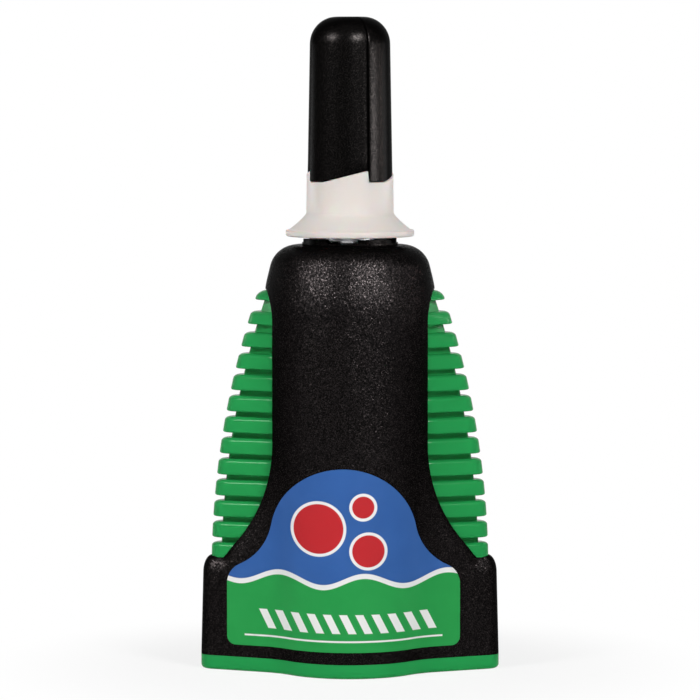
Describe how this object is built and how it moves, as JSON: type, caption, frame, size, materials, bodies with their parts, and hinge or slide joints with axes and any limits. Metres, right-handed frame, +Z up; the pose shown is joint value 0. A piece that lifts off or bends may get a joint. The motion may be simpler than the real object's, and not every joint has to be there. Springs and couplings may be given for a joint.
{
  "type": "super glue tube",
  "caption": "Squeeze dispenser for super glue: waisted shell on a flat base, ribbed side grips round a metal tube, screw-down nozzle with ramps and a finned pull-off cap.",
  "frame": {"origin": "floor under the neck's axis, in the middle of the base's underside", "axes": "+Z up along the neck and cap, X across the grips, -Y the front with the label"},
  "size_m": [0.0412, 0.024, 0.09],
  "materials": {
    "black_shell": "fine eroded grain",
    "black_gloss": "satin",
    "green_plastic": "satin",
    "milky_plastic": "milky, a little translucent",
    "tube_metal": "drawn",
    "pin_steel": "bright",
    "label_print": "printed film"
  },
  "bodies": {
    "body": {"body_shell": "black_shell", "base_plate": "green_plastic", "glue_tube": "tube_metal", "neck_membrane": "tube_metal", "neck_ring": "black_gloss", "front_label": "label_print", "back_label": "label_print"},
    "left_grip": {"left_grip": "green_plastic"},
    "right_grip": {"right_grip": "green_plastic"},
    "spout": {"nozzle_spout": "milky_plastic"},
    "collar": {"nozzle_collar": "milky_plastic"},
    "pin": {"sealing_pin": "pin_steel"},
    "plug": {"cap_plug": "milky_plastic"},
    "cap": {"cap": "black_gloss"}
  },
  "joints": [
    {"name": "left_squeeze", "type": "hinge", "parent": "body", "child": "left_grip", "pos_m": [-0.01066, 0, 0.0054], "axis": [0, 1, 0], "range_deg": [0, 4], "stiffness_Nm_per_rad": 2, "deforming": ["glue_tube"]},
    {"name": "right_squeeze", "type": "hinge", "parent": "body", "child": "right_grip", "pos_m": [0.01066, 0, 0.0054], "axis": [0, -1, 0], "range_deg": [0, 4], "stiffness_Nm_per_rad": 2, "deforming": ["glue_tube"]},
    {"name": "nozzle_travel", "type": "slide", "parent": "body", "child": "spout", "axis": [0, 0, 1], "range_m": [-0.001, 0], "deforming": ["neck_membrane"]},
    {"name": "nozzle_screw", "type": "hinge", "parent": "spout", "child": "collar", "pos_m": [0, 0, 0.0632], "axis": [0, 0, 1], "range_deg": [-360, 0]},
    {"name": "cap_pull", "type": "slide", "parent": "collar", "child": "plug", "axis": [0, 0, 1], "range_m": [0, 0.021]},
    {"name": "cap_lift", "type": "slide", "parent": "plug", "child": "pin", "axis": [0, 0, 1], "range_m": [0, 0.0015]},
    {"name": "cap_twist", "type": "hinge", "parent": "pin", "child": "cap", "pos_m": [0, 0, 0.0787], "axis": [0, 0, 1], "range_deg": [0, 60]}
  ],
  "couplings": [
    {"joint": "nozzle_screw", "follows": "nozzle_travel", "rad_per_m": 6283.2},
    {"joint": "cap_twist", "follows": "cap_lift", "rad_per_m": 698.13}
  ]
}
